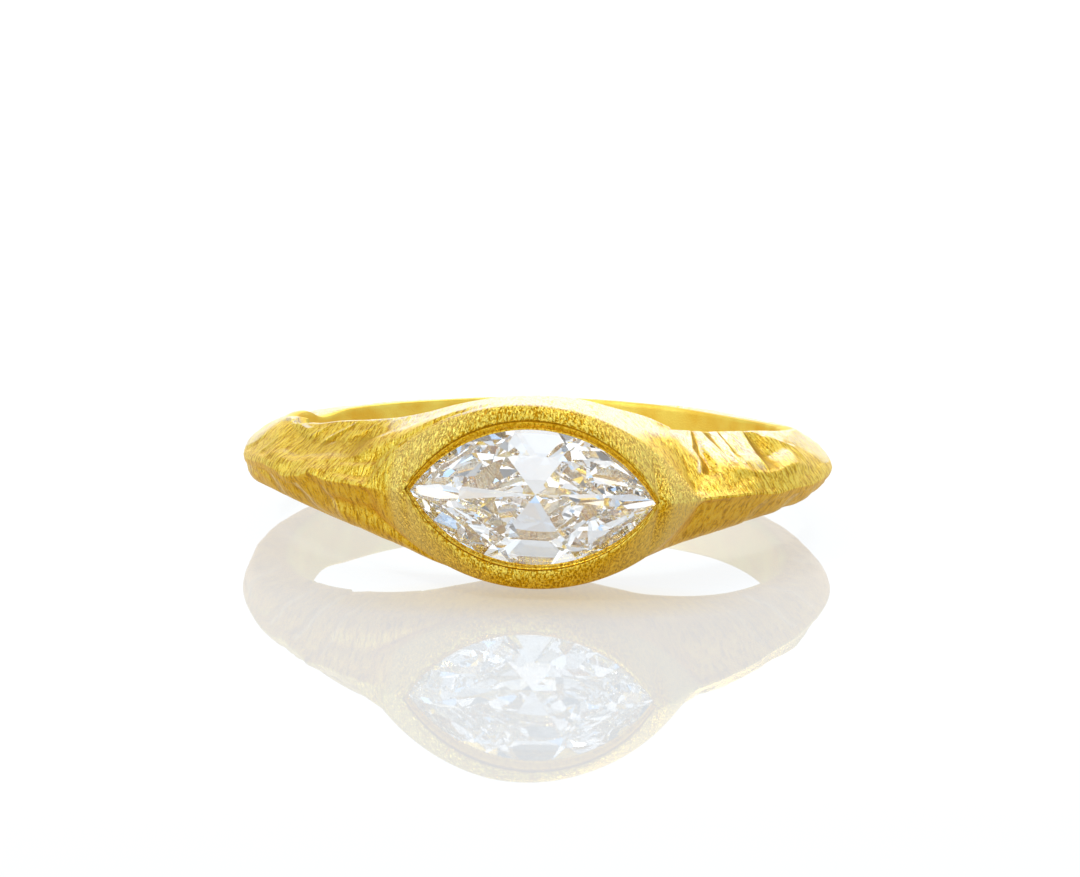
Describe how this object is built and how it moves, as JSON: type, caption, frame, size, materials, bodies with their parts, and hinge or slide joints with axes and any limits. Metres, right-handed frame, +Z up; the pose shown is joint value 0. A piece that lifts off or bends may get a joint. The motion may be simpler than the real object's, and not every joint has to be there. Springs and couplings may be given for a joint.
{
  "type": "asymmetrical ring",
  "caption": "Carved matte gold finger ring with an aslant marquise stone in a wide rim setting and shoulders carved unlike each other, lying on its side.",
  "frame": {"origin": "middle of the bounding box at the surface that the ring lies on", "axes": "+Z up from the surface, the stone faces -Y, +X to the right of someone who looks at the stone"},
  "size_m": [0.021, 0.0232, 0.0067],
  "materials": {
    "gold": "matte, brushed and carved yellow gold",
    "diamond": "clear, polished facets"
  },
  "bodies": {
    "root": {"carved_band": "gold", "marquise_stone": "diamond"}
  },
  "joints": []
}
